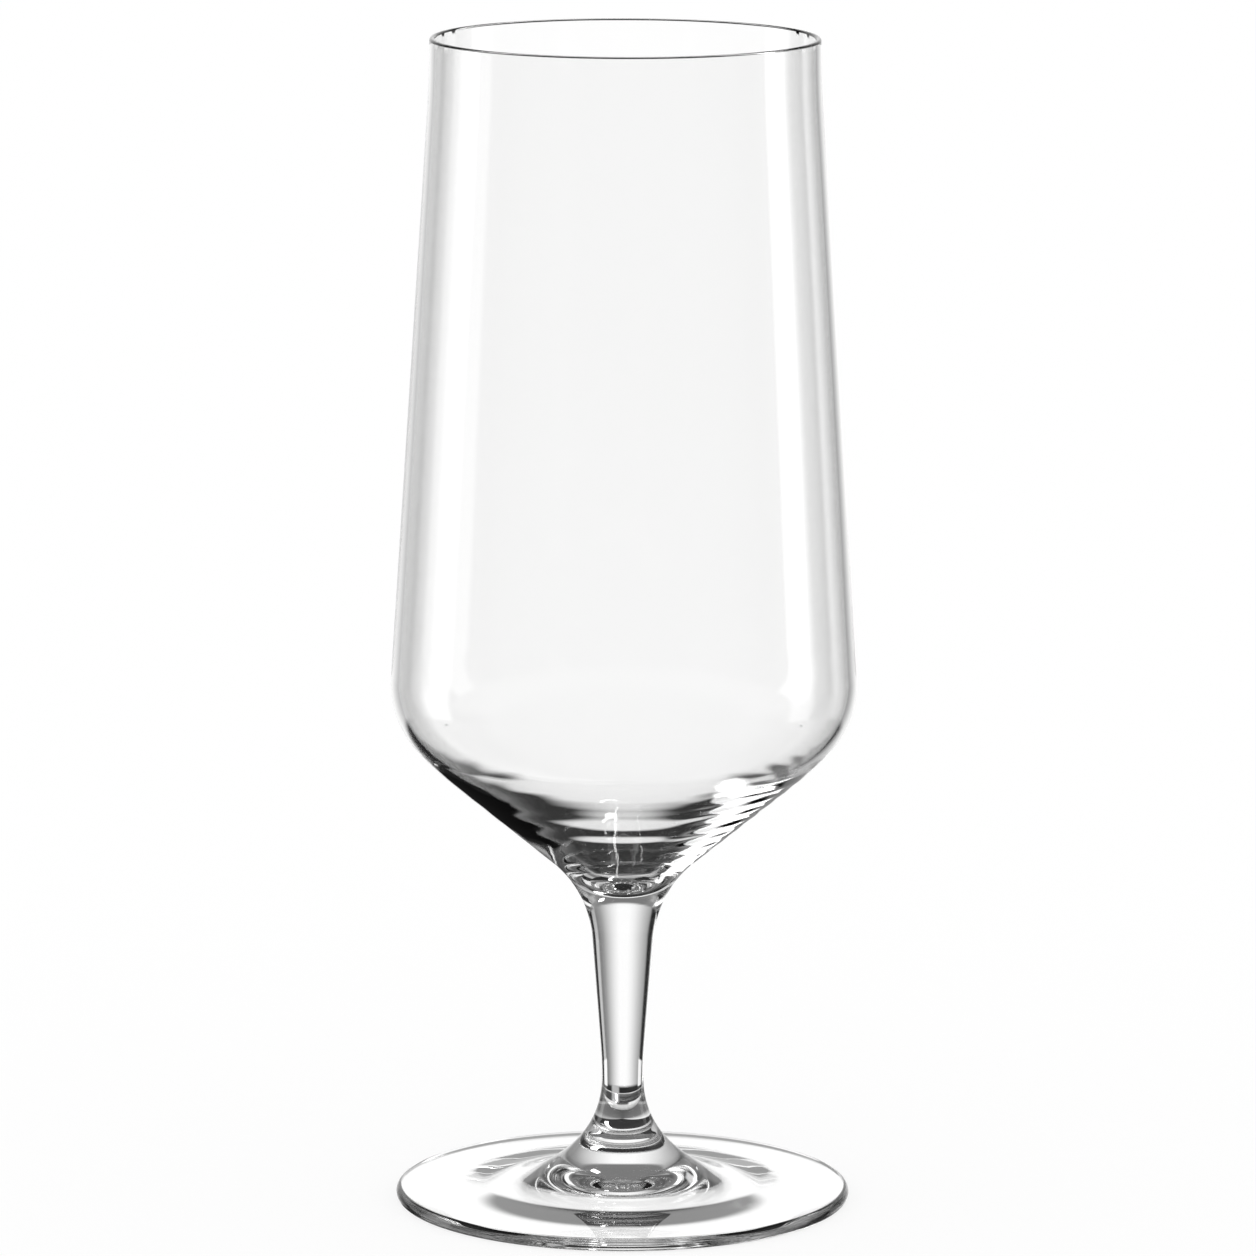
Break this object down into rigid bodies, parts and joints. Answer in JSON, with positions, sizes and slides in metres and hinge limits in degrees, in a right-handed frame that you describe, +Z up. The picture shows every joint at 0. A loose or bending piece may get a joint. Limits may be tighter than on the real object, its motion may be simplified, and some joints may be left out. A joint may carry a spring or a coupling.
{
  "type": "pilsner glass",
  "caption": "Clear stemmed beer glass: tall bowl narrowing to a thin rim, conical base, short waisted stem and round foot, for serving pilsner.",
  "frame": {"origin": "centre of the circle that the foot stands on, on the table", "axes": "+Z up along the axis of the glass, from the foot to the rim"},
  "size_m": [0.0754, 0.0754, 0.19],
  "materials": {
    "clear_glass": "clear, colourless and fire-polished"
  },
  "bodies": {
    "root": {"bowl": "clear_glass", "stem": "clear_glass", "foot": "clear_glass"}
  },
  "joints": []
}
